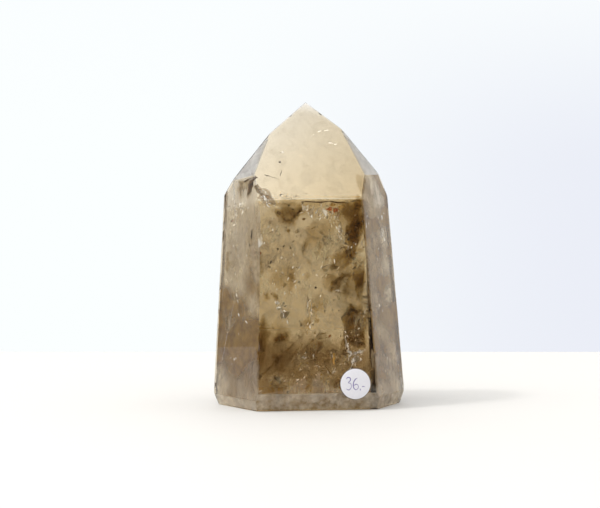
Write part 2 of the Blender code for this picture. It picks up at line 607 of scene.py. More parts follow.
def sprays_inside(count, each, seed, low, high, size, spread):
    """Sprays at random all through the smoky body, each with some slivers that run much the same way."""
    draw = np.random.default_rng(seed)
    spots = draw.uniform(low, high, (count * 14, 3))
    spots = spots[(spots @ whole_inside[0].T - whole_inside[1]).max(1) < -1.0]
    spots = spots[(spots @ over_the_smoke[0] < over_the_smoke[1])][:count]
    look, along = draw.normal(size=(len(spots), 3)), draw.normal(size=(len(spots), 3))
    tone = draw.uniform(0, 1, len(spots))
    pick = np.repeat(np.arange(len(spots)), each)
    many = len(pick)
    centres = spots[pick] + draw.normal(size=(many, 3)) * spread
    look = unit(unit(look)[pick] + draw.normal(0, 0.5, (many, 3)))
    along = unit(along)[pick] + draw.normal(0, 0.35, (many, 3))
    long = draw.uniform(*size, many) / 2
    half = np.stack((long, long * draw.uniform(*SLIM, many)), 1)
    return centres, look, along, half, tone[pick] + draw.normal(0, 0.15, many)


def scattered(count, seed, low, high, size, facing, spread, clear, flat=0.5):
    """Sheets at random: places in the box low..high that are inside the smoke by the distance clear."""
    draw = np.random.default_rng(seed)
    spots = draw.uniform(low, high, (count * 14, 3))
    normals, reach = smoky_inside
    spots = spots[(spots @ normals.T - reach).max(1) < -clear][:count]
    count = len(spots)
    look = unit(np.array(facing) + draw.normal(0, spread, (count, 3)))
    along = draw.normal(size=(count, 3)) * (0.6, 0.6, 1)
    long = draw.uniform(*size, count)
    half = np.stack((long, long * draw.uniform(flat, 1, count)), 1)
    return spots, look, along, half, draw.uniform(0, 1, count)


# %% [markdown]
# ## Sheets
#
# Each film is a bent disc with a ragged edge. Its points carry three values for the material to read: how
# near the rim they are, where they are on the sheet (in centimetres, moved by a different amount on every
# sheet, so no two have the same pattern) and the sheet's tone. All the sheets of one kind are worked out at
# once, as one big array, and go into one piece.

# %% Bent discs


def sheets(layouts, seed, bend=0.12, wave=0.12, rag=0.3, rings=10, turns=30, inside=None):
    """Bent discs with ragged edges, one for each row of the layouts, as grids of rings with point values.

    P(r, a) = c + r R(a) (w cos a e1 + h sin a e2) + w (bend B r^2 + wave r ripple) n, with r from 0 to 1, a
    once round, and w and h the half length and half width. R(a) = 1 + rag (0.6 sin(k a + p) + 0.4 sin(3 k a +
    q)) makes the ragged edge, B is a random number, and each ray from c is shortened if it would leave the
    stone.
    """
    draw = np.random.default_rng(seed)
    centres, facing, along, half, tone = (np.concatenate(parts) for parts in zip(*layouts))
    normals, reach = inside or smoky_inside
    centres = pulled_in(centres, normals, reach)
    count = len(centres)
    first = unit(along - facing * (along * facing).sum(1, keepdims=True))
    second = np.cross(facing, first)
    r = np.linspace(0, 1, rings)[None, :, None]
    a = np.linspace(0, 2 * math.pi, turns, endpoint=False)[None, None, :]
    lobes = draw.integers(2, 5, (count, 1, 1))
    p, q = draw.uniform(0, 2 * math.pi, (2, count, 1, 1))
    reach_out = r * (1 + rag * (0.6 * np.sin(lobes * a + p) + 0.4 * np.sin(3 * lobes * a + q)))
    u, v = reach_out * np.cos(a) * half[:, :1, None], reach_out * np.sin(a) * half[:, 1:, None]
    flat = u[..., None] * first[:, None, None] + v[..., None] * second[:, None, None]
    crinkle = ripple((flat + centres[:, None, None]) / half[:, None, None, :1], 0.9, seed + 1)
    lift = half[:, :1, None] * (bend * draw.normal(size=(count, 1, 1)) * r**2 + wave * r * crinkle)
    rays = flat + lift[..., None] * facing[:, None, None]
    rays = keep_inside(rays, centres[:, None, None], normals, reach)
    points = (rays + centres[:, None, None]).reshape(-1, 3)
    quads = grid_faces(rings, turns)[None] + (np.arange(count) * rings * turns)[:, None, None]
    place = np.stack((u / 10, v / 10, np.broadcast_to(draw.uniform(0, 50, (count, 1, 1)), u.shape)), -1)
    values = {
        "rim": np.broadcast_to(r, u.shape).ravel(),
        "tone": np.broadcast_to(tone[:, None, None], u.shape).ravel(),
        "sheet": place.reshape(-1, 3),
    }
    return points, quads.reshape(-1, 4), values


def sheet_piece(name, layouts, material, seed, **shape):
    """One piece that holds all the sheets of the layouts."""
    points, quads, values = sheets(layouts, seed, **shape)
    piece = new_piece(name, points, quads, material, weld_within=FINE_WELD, values=values)
    print(name, sum(len(layout[0]) for layout in layouts), "sheets,", len(piece.data.polygons), "faces")


# %% [markdown]
# Some films lie right under a whole face and give it its tint, as the milky look of this stone's side faces.
# Such a skin takes its outline from the face, and its tone and how far it is worn away change with the
# height.

# %% Skins
SKIN_RINGS = 26
SWELL_LENGTH, PATCH_LENGTH = 5.0, 16.0  # wavelengths of a skin's swells and of its patches, mm


def skin_sheet(face, depth, tones, wear, seed, patchy=0.0, swell=0.5):
    """A sheet under the whole of one face: P(s, t) = m + s (O(t) - m) - w (1 + ripple) (1 - s^6) n.

    The ripple is kept between -1 and 1. The sheet runs from the middle m to O, the outline of the same face
    when every plane is moved in by the depth, and w is the swell. The tone at each height, and how far the
    sheet is worn away there, are read off short curves of (height, value) pairs. A broad ripple is added to
    both, so a patchy sheet is dense in some places and nearly gone in others.
    """
    number = face_number(face)
    normal = plane_normals[number]
    inner_corners = stone_corners(plane_normals, plane_reach - depth)
    outline = face_outline(normal, plane_reach[number] - depth, inner_corners)
    rim = face_patch(outline, normal)[0]
    middle = rim.mean(0)
    s = np.linspace(0, 1, SKIN_RINGS)[:, None, None]
    points = middle + s * (rim - middle)
    lift = swell * (1 + np.clip(ripple(points, SWELL_LENGTH, seed), -1, 1)) * (1 - s**6)[..., 0]
    points = points - normal * lift[..., None]
    level = unit(np.cross(UP, normal))
    across, upward = points @ level, points @ np.cross(normal, level)
    place = np.stack((upward, across, np.full(points.shape[:2], 10.0 * seed)), -1) / 10
    patch = patchy * ripple(points, PATCH_LENGTH, seed + 7)
    values = {
        "rim": (np.interp(points[..., 2], *np.array(wear).T) + patch).ravel(),
        "tone": (np.interp(points[..., 2], *np.array(tones).T) - 0.4 * patch).ravel(),
        "sheet": place.reshape(-1, 3),
    }
    return points.reshape(-1, 3), grid_faces(*points.shape[:2]), values


def skin_piece(name, material, *sheet, **options):
    """A piece that is one skin under a face."""
    points, quads, values = skin_sheet(*sheet, **options)
    piece = new_piece(name, points, quads, material, weld_within=FINE_WELD, values=values)
    print(name, len(piece.data.polygons), "faces")


# %% [markdown]
# ## The pattern on a sheet
#
# All the films share one pattern, so it is a node group. Fine noise, drawn out along the sheet if it is to
# look fibrous, is cut at a level to leave islands of film with holes between. Towards the rim the cut rises,
# so the film frays away. A second, broader noise mixes the two colours, shifted by the sheet's tone.

# %% Sheet pattern group


def new_group(name, inputs, outputs):
    """A node group with float sockets by these names, and its own input and output sockets."""
    group = bpy.data.node_groups.new(name, "ShaderNodeTree")
    for way, names in (("INPUT", inputs), ("OUTPUT", outputs)):
        for socket in names:
            group.interface.new_socket(name=socket, in_out=way, socket_type="NodeSocketFloat")
    return group, group.nodes.new("NodeGroupInput").outputs, group.nodes.new("NodeGroupOutput").inputs


def sheet_pattern():
    """The node group: mask = cut(noise(place) - fray rim), mix = cut(broad noise + 0.7 (tone - 0.5))."""
    inputs = "Grain", "Fine", "Draw out", "Cover", "Soft", "Fray", "Fade from", "Least", "Most"
    group, given, result = new_group("sheet pattern", inputs, ("Mask", "Mix", "Height"))
    rim, tone, place = (
        put(group, "ShaderNodeAttribute", attribute_name=name).outputs[output]
        for name, output in (("rim", "Fac"), ("tone", "Fac"), ("sheet", "Vector"))
    )
    stretch = put(group, "ShaderNodeCombineXYZ", {"X": given["Draw out"], "Y": 1.0, "Z": 1.0})
    drawn = put(group, "ShaderNodeVectorMath", {0: place, 1: stretch.outputs[0]}, operation="MULTIPLY")
    fine = {"Vector": drawn.outputs[0], "Scale": given["Grain"], "Detail": given["Fine"], "Roughness": 0.66,
            "Distortion": 0.6}
    noise = put(group, "ShaderNodeTexNoise", fine).outputs["Fac"]
    frayed = put(group, "ShaderNodeMapRange", {"Value": rim, "From Min": 0.4, "To Max": given["Fray"]},
                 interpolation_type="SMOOTHSTEP")
    left = put(group, "ShaderNodeMath", {0: noise, 1: frayed.outputs[0]}, operation="SUBTRACT")
    full = put(group, "ShaderNodeMath", {0: given["Cover"], 1: given["Soft"]})
    cut = put(group, "ShaderNodeMapRange", {
        "Value": left.outputs[0], "From Min": given["Cover"], "From Max": full.outputs[0],
        "To Min": given["Least"], "To Max": given["Most"]}, interpolation_type="SMOOTHSTEP")
    fade = put(group, "ShaderNodeMapRange", {"Value": rim, "From Min": 1.0, "From Max": given["Fade from"]},
               interpolation_type="SMOOTHSTEP")
    mask = put(group, "ShaderNodeMath", {0: cut.outputs[0], 1: fade.outputs[0]}, operation="MULTIPLY")
    broad = put(group, "ShaderNodeTexNoise", {"Vector": place, "Scale": 2.2, "Detail": 5.0, "Roughness": 0.6})
    shift = put(group, "ShaderNodeMath", {0: tone, 1: 0.7, 2: -0.35}, operation="MULTIPLY_ADD")
    toned = put(group, "ShaderNodeMath", {0: broad.outputs["Fac"], 1: shift.outputs[0]})
    mix = put(group, "ShaderNodeMapRange", {"Value": toned.outputs[0], "From Min": 0.36, "From Max": 0.64})
    crease = {"Vector": drawn.outputs[0], "Scale": given["Grain"], "Detail": 1.5}
    height = put(group, "ShaderNodeTexNoise", crease).outputs["Fac"]
    for name, output in (("Mask", mask.outputs[0]), ("Mix", mix.outputs[0]), ("Height", height)):
        group.links.new(output, result[name])
    return group


pattern_group = sheet_pattern()
print("the pattern has", len(pattern_group.nodes), "nodes")

# %% [markdown]
# A film's material puts the group's mask into its alpha and a little of its height into a bump. Glassy cracks
# that mirror light are metallic, and everything else is matt. The colours look strong here, but a matt film
# inside glass shows less than half of its paleness, because light has to get in to it and out again.

# %% Film materials
FILM_RELIEF = 0.12  # height of the bump, mm


def film(name, dark, pale, rough=0.45, metallic=0.0, relief=0.4, grain=3.0, fine=9.0, draw_out=1.0,
         cover=0.46, soft=0.12, fray=0.3, fade_from=0.8, least=0.0, most=0.8):
    """A material for sheets: the group's mask is its alpha, and its mix goes from dark to pale."""
    material, tree, shader = plain_material(name, pale, rough, metallic=metallic)
    pattern = put(tree, "ShaderNodeGroup", node_tree=pattern_group)
    given = {"Grain": grain, "Fine": fine, "Draw out": draw_out, "Cover": cover, "Soft": soft, "Fray": fray,
             "Fade from": fade_from, "Least": least, "Most": most}
    for key, value in given.items():
        pattern.inputs[key].default_value = value
    colour = mixed(tree, pattern.outputs["Mix"], dark, pale)
    bump = put(tree, "ShaderNodeBump", {"Height": pattern.outputs["Height"], "Strength": relief,
                                        "Distance": FILM_RELIEF * MM})
    tree.links.new(colour, shader.inputs["Base Color"])
    tree.links.new(pattern.outputs["Mask"], shader.inputs["Alpha"])
    tree.links.new(bump.outputs[0], shader.inputs["Normal"])
    return material


# %% [markdown]
# ## Smoke that gathers
#
# The smoke isn't even. It gathers in soft clouds and in small dark knots beside the old cracks. A noise in
# the volume could do this, but it couldn't be steered. So each cloud is a closed lump, an egg with dents,
# that soaks up light as it passes: it is dark in the middle and soft at its edge. There are four strengths:
# faint and deep for the wide clouds, brown for the patches, and dark for the knots and lines.

# %% Lumps of smoke
EGG_THICKNESS, EGG_DENT = 0.6, 0.3  # as shares of a lump's half width and of its size
EGG_ROWS, EGG_COLUMNS = 14, 22


def dented_eggs(layouts, seed):
    """Closed lumps: P(a, b) = c + (1 + dent ripple) (l sin a cos b e1 + w sin a sin b e2 + thick w cos a n).

    Each row of the layouts gives one lump its place c, its half length l, its half width w and its
    directions. Any part that would leave the stone is drawn back in towards c.
    """
    centres, facing, along, half, _ = (np.concatenate(parts) for parts in zip(*layouts))
    normals, reach = whole_inside
    centres = pulled_in(centres, normals, reach)[:, None, None]
    first = unit(along - facing * (along * facing).sum(1, keepdims=True))
    a = np.linspace(0, math.pi, EGG_ROWS)[None, :, None, None]
    b = np.linspace(0, 2 * math.pi, EGG_COLUMNS, endpoint=False)[None, None, :, None]
    long, wide = half[:, :1, None, None], half[:, 1:, None, None]
    rays = long * np.sin(a) * np.cos(b) * first[:, None, None]
    rays = rays + wide * np.sin(a) * np.sin(b) * np.cross(facing, first)[:, None, None]
    rays = rays + EGG_THICKNESS * wide * np.cos(a) * facing[:, None, None]
    rays = rays * (1 + EGG_DENT * ripple((rays + centres) / np.sqrt(wide * long), 1.1, seed)[..., None])
    rays = keep_inside(rays, centres, normals, reach)
    starts = (np.arange(len(half)) * EGG_ROWS * EGG_COLUMNS)[:, None, None]
    quads = grid_faces(EGG_ROWS, EGG_COLUMNS)[:, ::-1][None] + starts
    return (rays + centres).reshape(-1, 3), quads.reshape(-1, 4)


def smoke_piece(name, layouts, smoke, seed):
    """One piece that holds all the lumps of the layouts."""
    lump = new_piece(name, *dented_eggs(layouts, seed), smoke, weld_within=FINE_WELD)
    print(name, sum(len(layout[0]) for layout in layouts), "lumps,", closed_and_outward(lump))


# %% Where the smoke gathers, in front
FRONT_FAINT = (  # x, z, depth, half length, half width, roll, and a zero
    (19, 57, 9, 11, 5.5, 84, 0), (20.5, 35, 9, 12, 6.5, 80, 0), (-17, 29, 9, 12, 6, 75, 0),
    (17, 80, 9, 10, 5, 88, 0), (3, 74, 5, 8, 6, 85, 0), (-6, 86, 3.5, 9, 3, -4, 0),
    (14, 86, 3.5, 9, 3.5, 0, 0), (-8, 57, 6, 5, 2.6, 85, 0), (-11, 24, 6, 8, 5, 20, 0),
    (6.9, 65.5, 4, 5.5, 2.8, 86, 0), (2, 24, 8, 10, 5, 15, 0),
)
FRONT_DEEP = (
    (21.6, 57, 6, 9, 3, 87, 0), (20.6, 37, 6, 9.5, 4.8, 87, 0), (-20, 29, 6, 9, 2.5, 82, 0),
    (19.5, 79.5, 5, 11, 4.9, 89, 0), (-11, 83.2, 4.5, 4.4, 2.2, -38, 0), (-5.8, 83.8, 4.5, 4.8, 2.3, 45, 0),
    (-8.4, 81.8, 4.5, 3.4, 2, 0, 0), (16, 65, 6, 8, 3.6, 12, 0),
)
FRONT_BROWN = (
    (-13.2, 84.8, 3, 2.8, 1.4, -40, 0), (-9, 81.8, 3.2, 2.6, 1.2, -10, 0), (-5, 84.8, 3, 3, 1.3, 55, 0),
    (-9.5, 86.5, 3.5, 3, 1.1, 0, 0), (20.6, 76.5, 3.4, 8, 0.8, 88, 0), (17.5, 67.6, 3.5, 4.5, 2, 30, 0),
    (20.5, 63.4, 3, 2.8, 1.9, 60, 0), (14.6, 69.8, 3, 1.6, 1.1, 0, 0), (-2.5, 69.5, 3.5, 3.8, 1.2, 75, 0),
    (-7.4, 57.4, 4, 5, 1.7, 82, 0), (-20, 31, 3.4, 6, 2, 86, 0), (-12.6, 31.8, 4, 3.8, 2.4, 15, 0),
    (20.3, 29.8, 3.5, 3.6, 2.5, 0, 0), (-1, 58, 4, 2, 1.2, 60, 0), (21.5, 55, 3, 4, 1.8, 80, 0),
    (-3, 88.6, 2.6, 10, 1.2, 0, 0), (14, 88.8, 2.6, 7, 1, 0, 0),
)
FRONT_DARK = (
    (15.7, 74.8, 2, 5, 0.6, 87, 0), (9.3, 52.2, 2.4, 1.8, 0.8, 65, 0), (10.9, 54.9, 2.4, 1.9, 1, 52, 0),
    (13.4, 57, 2.4, 2.1, 1.1, 28, 0), (16.6, 58, 2.4, 2.2, 0.9, 3, 0), (20.3, 28.9, 2.2, 3, 1.5, 0, 0),
    (-11.2, 82.6, 2.2, 1.8, 0.6, -50, 0), (-6.7, 83.4, 2.2, 2, 0.7, 58, 0), (-3.4, 86.8, 2, 1.6, 0.6, 40, 0),
    (-9.3, 81, 2.2, 1.4, 0.6, 0, 0), (22.6, 57, 2.5, 3, 1, 80, 0), (18.5, 66.5, 2.2, 1.6, 0.8, 50, 0),
    (-22.4, 60, 1.4, 9, 0.45, 91.5, 0), (-2, 90.4, 0.9, 10, 0.3, 0.4, 0), (15, 90.5, 0.9, 8, 0.3, 0.3, 0),
)
print("in front:", [len(rows) for rows in (FRONT_FAINT, FRONT_DEEP, FRONT_BROWN, FRONT_DARK)], "lumps")

# %% And at the sides
LEFT_FAINT = ((-35, 62, 4, 9, 4, 85, 0), (-27, 66, 4, 14, 3, 88, 0))
LEFT_BROWN = ((-36.8, 63.4, 1.6, 3.2, 1.6, 85, 0), (-37, 24, 3, 8, 2, 85, 0), (-29, 96.4, 1.6, 5, 1.6, 3, 0))
LEFT_DARK = (
    (-29, 98.3, 0.8, 5, 0.9, 3, 0), (-26.2, 94.6, 0.8, 4.2, 1.1, 76, 0), (-25.5, 75.3, 0.8, 2.3, 0.5, 88, 0),
    (-26.4, 71, 0.8, 1, 0.4, 88, 0), (-36.8, 37, 1, 2.6, 0.6, 88, 0), (-30.5, 93.5, 0.8, 3.4, 0.5, 100, 0),
)
RIGHT_FAINT = ((27, 90, 3, 8, 4, 85, 0), (32, 68, 4, 8, 3, 85, 0))
RIGHT_BROWN = (
    (25.8, 82.5, 1.6, 1.6, 0.8, 10, 0), (29.6, 60.2, 1.6, 1.4, 0.9, 0, 0), (28.8, 34.8, 3, 5, 1.8, 85, 0),
)
print("at the sides:", [len(rows) for rows in (LEFT_FAINT, LEFT_BROWN, LEFT_DARK, RIGHT_FAINT, RIGHT_BROWN)])

# %% Four strengths of smoke
SMOKE_BOX = (-38, -24, 4), (38, 26, 86)  # two corners of the box, in mm, that lumps are scattered in
ANY_WAY = (0, 0, 0)  # facing no way more than another
LUMP_TILT, SIDE_TILT, THIN_TILT = 0.1, 0.05, 0.03  # random turn of a lump from its face

faint_lumps = (
    laid_under("front", FRONT_FAINT, LUMP_TILT, 31), laid_under("left", LEFT_FAINT, LUMP_TILT, 32),
    laid_under("right", RIGHT_FAINT, LUMP_TILT, 33),
    scattered(14, 34, *SMOKE_BOX, size=(3.0, 8.0), facing=ANY_WAY, spread=1, clear=3.0),
)
deep_lumps = (laid_under("front", FRONT_DEEP, LUMP_TILT, 43),)
brown_lumps = (
    laid_under("front", FRONT_BROWN, LUMP_TILT, 35), laid_under("left", LEFT_BROWN, SIDE_TILT, 36),
    laid_under("right", RIGHT_BROWN, SIDE_TILT, 37),
    scattered(12, 38, *SMOKE_BOX, size=(1.0, 3.0), facing=ANY_WAY, spread=1, clear=2.0),
)
dark_lumps = (
    laid_under("front", FRONT_DARK, SIDE_TILT, 39), laid_under("left", LEFT_DARK, THIN_TILT, 40),
    scattered(10, 41, *SMOKE_BOX, size=(0.6, 1.6), facing=ANY_WAY, spread=1, clear=1.5, flat=0.3),
)
for name, density, layouts in (
    ("faint", 120.0, faint_lumps), ("deep", 430.0, deep_lumps),
    ("brown", 400.0, brown_lumps), ("dark", 1300.0, dark_lumps),
):
    smoke_piece("smoke_" + name, layouts, smoke_material(name + " smoke", (0.52, 0.38, 0.06), density), 42)

# %% [markdown]
# ## Veils
#
# The films come in families. Veils are the biggest and softest: old cracks that have healed all but for a
# milky murk. A cloudy volume would be slow to render and full of noise, so each veil is one large sheet with
# a broad, faint pattern. As in most of the families, some are listed one by one, where the stone has its own
# marks, and the rest are scattered, so that the sides and the back are as full as the front.

# %% Veils
# The rows of every family of films are x, z, depth, half length, half width, roll and tone.
SIDE_VEILS = ((-30, 88, 3, 9, 6, 80, 0.5), (-33, 70, 4, 10, 5, 85, 0.4), (-33, 48, 4, 9, 6, 80, 0.4))
RIGHT_VEILS = (
    (27, 91, 2.5, 8, 5, 85, 0.3), (30, 74, 3, 10, 5, 85, 0.4), (31, 52, 3, 10, 5, 88, 0.3),
    (33, 30, 3, 10, 5, 85, 0.3),
)
VEIL_BOX = (-38, -26, 4), (38, 26, 92)

veil = film("milky veil", (0.6, 0.44, 0.2), (0.92, 0.78, 0.48), rough=0.6, grain=1.6, fine=3.0, cover=0.34,
            soft=0.28, fray=0.25, fade_from=0.4, most=0.24, relief=0.3)
sheet_piece("veils", [
    laid_under("left", SIDE_VEILS, 0.15, 1), laid_under("right", RIGHT_VEILS, 0.15, 2),
    scattered(20, 3, *VEIL_BOX, size=(10.0, 24.0), facing=(0, -1, 0.1), spread=0.45, clear=4.0),
], veil, 21, wave=0.2, rag=0.35, rings=12, turns=40, inside=whole_inside)

# %% [markdown]
# ## Stains
#
# Iron that seeped into the cracks has left brown stains. They are matt and patchy, so the film's plain look
# will do, with two browns and soft islands. They lie along the V of broken places under the tip and at the
# corners.

# %% Stains
CRACK_BOX = (-38, -26, 3), (38, 26, 88)
FRONT_STAINS = (  # x, z, depth, half length, half width, roll, tone
    (-12.8, 84.6, 3, 2.6, 0.8, -35, 0.3), (-8.8, 81.8, 3, 2, 0.7, -20, 0.3),
    (-4.8, 84.7, 3, 2.8, 0.9, 50, 0.3), (-17, 81, 4, 1.8, 0.8, 70, 0.4), (17.4, 68.4, 4, 3, 1.4, 40, 0.3),
    (14.4, 70, 3, 1.5, 0.8, 10, 0.2), (-2.7, 69, 3, 2.6, 0.8, 75, 0.3), (-12.5, 31.8, 5, 3, 2, 20, 1),
    (-18.4, 91.7, 0.8, 4.6, 1.1, -14, 1), (-21.8, 94.8, 0.8, 2.8, 0.8, -68, 1),
    (-20.4, 92.4, 0.9, 4.8, 1.9, -40, 1),
)
LEFT_STAINS = (
    (-33, 89, 2, 1.4, 0.9, 0, 0.4), (-33.4, 78.3, 2, 1.2, 1, 0, 0.4), (-37.2, 20.7, 3, 4.5, 3, 80, 0.5),
)
RIGHT_STAINS = (
    (25.5, 82.6, 1.5, 1.6, 0.8, 10, 0.1), (31, 82.2, 1.5, 0.8, 0.6, 0, 0.1), (29.7, 60.4, 2, 1.2, 1, 0, 0.2),
)

stain = film("brown stain", (0.17, 0.08, 0.02), (0.46, 0.27, 0.09), rough=0.5, grain=5.0, cover=0.36,
             fray=0.18, soft=0.2, most=0.8)
sheet_piece("stains", [
    laid_under("front", FRONT_STAINS, 0.15, 1),
    laid_under("left", LEFT_STAINS, 0.1, 3), laid_under("right", RIGHT_STAINS, 0.1, 4),
    scattered(14, 5, *CRACK_BOX, size=(1.0, 3.0), facing=ANY_WAY, spread=1, clear=3.0, flat=0.25),
], stain, 22, inside=whole_inside)

# %% [markdown]
# ## Feathers
#
# A fresh crack holds a film of air and mirrors light, and its hackled surface looks like a feather. A real
# gap in the glass would need a slit with two walls. A rough metallic film looks the same and is one sheet:
# its noise is drawn out to fibres, and the feathers laid under the faces are aimed so that they throw light
# to the front.

# %% Feathers
KEY_LIGHT, HIGH_RIGHT = (-0.52, -0.25, 0.82), (0.55, -0.35, 0.75)  # where bright light comes from
FRONT_FEATHERS = (
    (-2.3, 86.9, 1.5, 2, 1.1, 60, 0.6), (0.3, 85.6, 1.5, 1.8, 1.2, 100, 0.7),
    (3.3, 84.3, 1.5, 1.9, 1.3, 70, 0.6), (6.7, 85.2, 1.5, 2.2, 1.4, 110, 0.6), (13, 79.2, 2, 6, 1, 98, 0.5),
    (22.4, 72, 1.5, 3, 0.7, 85, 1), (15.8, 28.8, 1.5, 3.2, 0.7, 105, 1), (17.3, 25, 1.5, 2, 0.8, -35, 1),
    (21, 24.7, 1.5, 3, 0.8, 18, 1), (19.5, 22, 3, 4, 2.2, 20, 0.8), (-1, 44.6, 2, 7.5, 0.5, 90, 0.8),
    (0.7, 43.3, 2.5, 6.5, 0.5, 91, 0.7), (-11.4, 42, 1.5, 3.5, 0.4, -60, 1), (-14, 46.7, 1, 1.4, 0.7, 80, 1),
    (-18, 90.5, 1, 4, 2, -50, 0.9), (-20.6, 74, 2, 5, 2, 85, 0.7),
)
LEFT_FEATHERS = (
    (-30, 85, 1, 2, 0.9, 80, 1), (-32.5, 87.7, 1, 1.5, 0.7, 70, 1), (-34.2, 91.1, 1, 1, 0.7, 60, 1),
    (-32, 37.3, 1.5, 2.7, 0.6, -40, 0.8), (-27.4, 36, 1.5, 2.4, 0.6, -25, 0.8),
)
RIGHT_FEATHERS = (
    (32.2, 77.5, 1.5, 4, 0.5, 85, 1), (33, 69, 1.5, 5, 0.5, 86, 1), (31.8, 47.6, 2, 3.5, 1, 70, 0.8),
    (29.7, 42.4, 2, 2, 1.8, 0, 1),
)

feather = film("feathery crack", (0.6, 0.48, 0.3), (0.95, 0.92, 0.84), rough=0.3, metallic=1.0, grain=5.0,
               draw_out=0.3, cover=0.42, fray=0.2, most=0.8, relief=0.5)
sheet_piece("feathers", [
    laid_under("front", FRONT_FEATHERS, 0.12, 6, throws_light("front", KEY_LIGHT)),
    laid_under("left", LEFT_FEATHERS, 0.12, 7, throws_light("left", KEY_LIGHT)),
    laid_under("right", RIGHT_FEATHERS, 0.12, 8, throws_light("right", HIGH_RIGHT)),
    scattered(16, 10, *CRACK_BOX, size=(2.0, 8.0), facing=ANY_WAY, spread=1, clear=1.5, flat=0.2),
], feather, 23, bend=0.05, wave=0.05, inside=whole_inside)

# %% [markdown]
# ## Rust, specks and glints
#
# Three families of small marks. Rust is red and gold iron oxide, gathered under the edge of the tip. Specks
# are tiny, nearly black grains, and long thin ones draw the dark line under that edge. Glints are flakes of
# mirror, too small to aim one by one, so they are scattered to face roughly up and to the front.

# %% Rust
RUST = (
    (8.5, 86.6, 1.2, 2, 1.1, 10, 0), (11, 86, 1.3, 1.8, 1.2, 0, 0.2), (13.6, 87.6, 1.4, 2.4, 1.3, 20, 1),
    (10, 88.2, 1.2, 1.8, 0.8, -10, 0.7), (10.1, 22, 2, 3.5, 0.9, 85, 0.6),
)

rust = film("rust", (0.6, 0.15, 0.015), (0.85, 0.52, 0.14), grain=5.0, cover=0.34, fray=0.2, most=0.95)
sheet_piece("rust_flecks", [
    laid_under("front", RUST, 0.15, 11),
    scattered(10, 12, *CRACK_BOX, size=(0.6, 2.2), facing=ANY_WAY, spread=1, clear=1.5),
], rust, 24, rings=6, turns=18)

# %% Specks
FRONT_SPECKS = (
    (-3, 89.7, 0.8, 8, 0.3, 0.4, 1), (9, 89.8, 0.8, 8, 0.3, 0.3, 0.8), (18, 89.8, 0.8, 5, 0.3, 0.3, 0.6),
    (-13.8, 69.4, 1, 0.5, 0.4, 0, 0), (-11.2, 70.6, 1, 0.6, 0.4, 30, 0), (-8.2, 69.8, 1, 0.5, 0.4, 0, 0),
    (-16.7, 63.8, 1, 0.9, 0.4, 60, 0), (2.4, 52.7, 1, 0.8, 0.5, 50, 0),
)
LEFT_SPECKS = (
    (-28.2, 98.8, 0.8, 9, 0.6, 6, 1), (-26.4, 96, 0.8, 5.8, 1.5, 58, 0.9),
    (-25.4, 98.6, 0.8, 3, 1.6, 40, 0.9), (-30.8, 81.3, 1, 0.5, 0.4, 0, 0), (-29.5, 81.3, 1, 0.5, 0.3, 0, 0),
    (-25.5, 75.3, 1, 2.3, 0.4, 88, 0), (-26.4, 71, 1, 0.9, 0.3, 88, 0),
)
WINDOW_SPECKS = (
    (-13.1, 107.1, 0.8, 0.6, 0.5, 0, 0), (-17.2, 100.7, 0.8, 4, 0.25, -22, 0),
    (-12.5, 102.2, 0.8, 1.8, 0.2, 70, 0),
)
SPECK_BOX = (-38, -26, 3), (38, 26, 90)

speck = film("dark speck", (0.03, 0.014, 0.006), (0.22, 0.12, 0.04), grain=7.0, cover=0.2, fray=0.1,
             most=0.95)
sheet_piece("specks", [
    laid_under("front", FRONT_SPECKS, 0.3, 13), laid_under("left", LEFT_SPECKS, 0.3, 14),
    laid_under("tip", WINDOW_SPECKS, 0.1, 15),
    scattered(16, 16, *SPECK_BOX, size=(0.25, 1.1), facing=ANY_WAY, spread=1, clear=1.0, flat=0.3),
], speck, 25, rings=4, turns=18, inside=whole_inside)

# %% Glints
GLINT_BOX = (-38, -27, 3), (38, 27, 93)

glint = film("silver glint", (0.75, 0.7, 0.6), (0.95, 0.94, 0.9), rough=0.18, metallic=1.0, grain=5.0,
             cover=0.3, fray=0.2, most=0.95, relief=0.8)
sheet_piece("glints", [
    scattered(34, 17, *GLINT_BOX, size=(0.3, 1.0), facing=(-0.2, -0.9, 0.4), spread=0.5, clear=0.8, flat=0.3),
], glint, 26, rings=4, turns=12)

# %% [markdown]
# ## Slivers in sprays
#
# Where a crack is crushed it breaks into many thin slivers side by side. Those stained with iron look brown,
# and clean ones look pale, or silver where they catch the key light. Placing each by hand would take a long
# table, so one row places a whole spray. The brown ones may face any way. The pale ones under the faces are
# turned to the light.

# %% Brown slivers
SPRAY_BOX = (-38, -27, 3), (38, 27, 90)
FRONT_BROWN_SPRAYS = (  # x, z, depth, spread along, spread across, roll, count, length, tone
    (-11.8, 83.2, 1.8, 2.6, 0.7, -42, 26, 1.8, 0), (-6, 84, 1.8, 2.6, 0.8, 52, 26, 1.8, 0),
    (-18, 90, 1.5, 3, 1.8, -55, 12, 1.6, 0.4), (17.8, 67.5, 2.5, 4, 2.4, 35, 20, 2.2, 0.1),
    (-2.7, 68.8, 2.5, 2.2, 1.4, 70, 10, 2, 0.2), (-7.4, 57, 3, 4, 1.6, 80, 20, 2.4, 0.4),
    (13, 56.5, 1.5, 3.6, 0.7, 37, 10, 2, 0), (12, 86.5, 1.2, 5, 0.6, 2, 14, 1.8, 0.2),
    (-2, 16, 3, 10, 3, 10, 24, 2, 0.5),
)
LEFT_BROWN_SPRAYS = (
    (-27, 97.5, 1, 3, 1, 80, 16, 3, 0), (-31, 55, 2, 8, 3, 85, 20, 2.4, 0.5),
    (-36, 26, 2, 6, 2, 85, 20, 2, 0.3), (-36.5, 63, 1.5, 1.6, 0.8, 85, 12, 2, 0.1),
)
